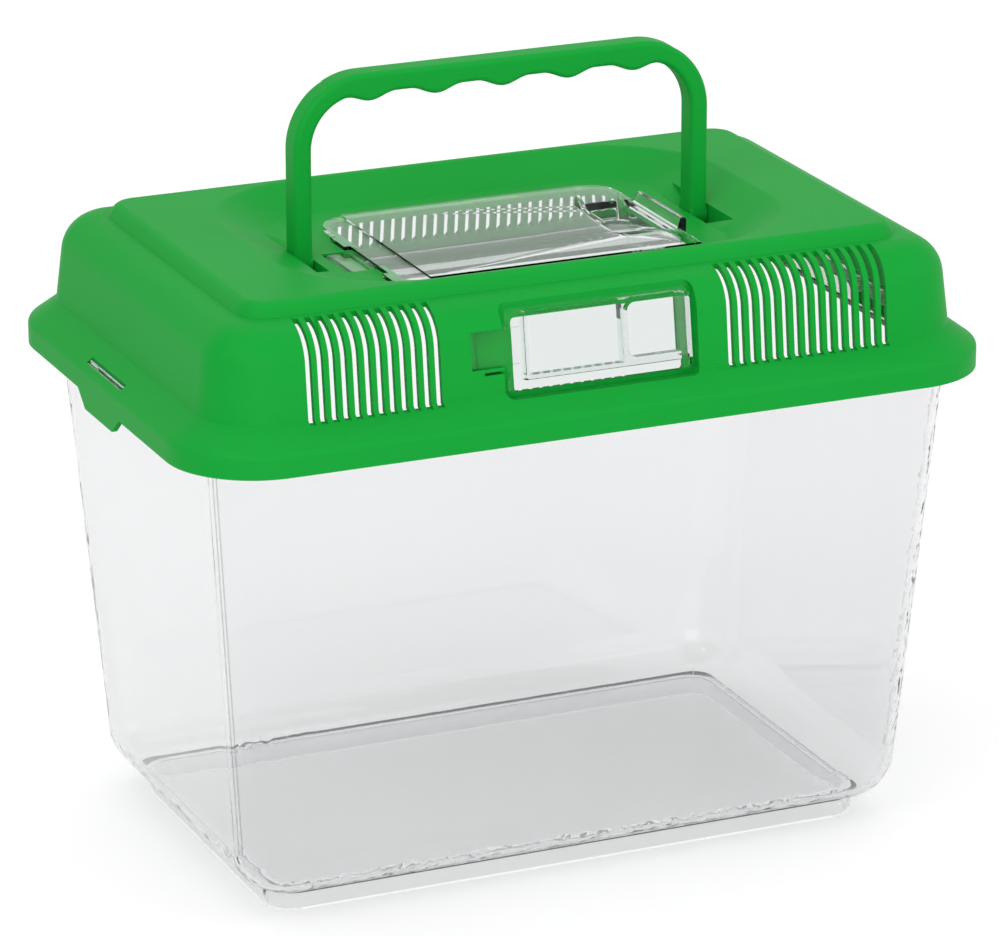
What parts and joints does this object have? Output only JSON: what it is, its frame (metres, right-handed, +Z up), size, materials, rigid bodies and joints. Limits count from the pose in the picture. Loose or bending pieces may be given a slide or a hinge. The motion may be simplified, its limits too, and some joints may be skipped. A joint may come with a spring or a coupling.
{
  "type": "pet keeper",
  "caption": "Clear tapered plastic pet keeper with a green vented lift-off lid, folding bail handle, clear top flap and clear front flap.",
  "frame": {"origin": "centre of the tank's footprint, on the floor plane under the foot ring", "axes": "+Z up, +X along the long side to the viewer's right, -Y towards the front with the window flap"},
  "size_m": [0.3, 0.1974, 0.2777],
  "materials": {
    "clear_plastic": "clear polished polystyrene",
    "green_plastic": "satin moulded polypropylene"
  },
  "bodies": {
    "tank": {"tank": "clear_plastic"},
    "lid": {"lid": "green_plastic"},
    "handle": {"handle": "green_plastic"},
    "top_flap": {"top_door": "clear_plastic"},
    "front_flap": {"front_door": "clear_plastic"}
  },
  "joints": [
    {"name": "lid_lift", "type": "slide", "parent": "tank", "child": "lid", "axis": [0, 0, 1], "range_m": [0, 0.12]},
    {"name": "handle_swing", "type": "hinge", "parent": "lid", "child": "handle", "pos_m": [0, 0, 0.2123], "axis": [1, 0, 0], "range_deg": [-70, 70]},
    {"name": "top_flap_hinge", "type": "hinge", "parent": "lid", "child": "top_flap", "pos_m": [-0.065, -0.01075, 0.2113], "axis": [0, -1, 0], "range_deg": [0, 21]},
    {"name": "front_flap_hinge", "type": "hinge", "parent": "lid", "child": "front_flap", "pos_m": [-0.0463, -0.0836, 0.20061], "axis": [0, -0.1564, -0.9877], "range_deg": [0, 95]}
  ]
}
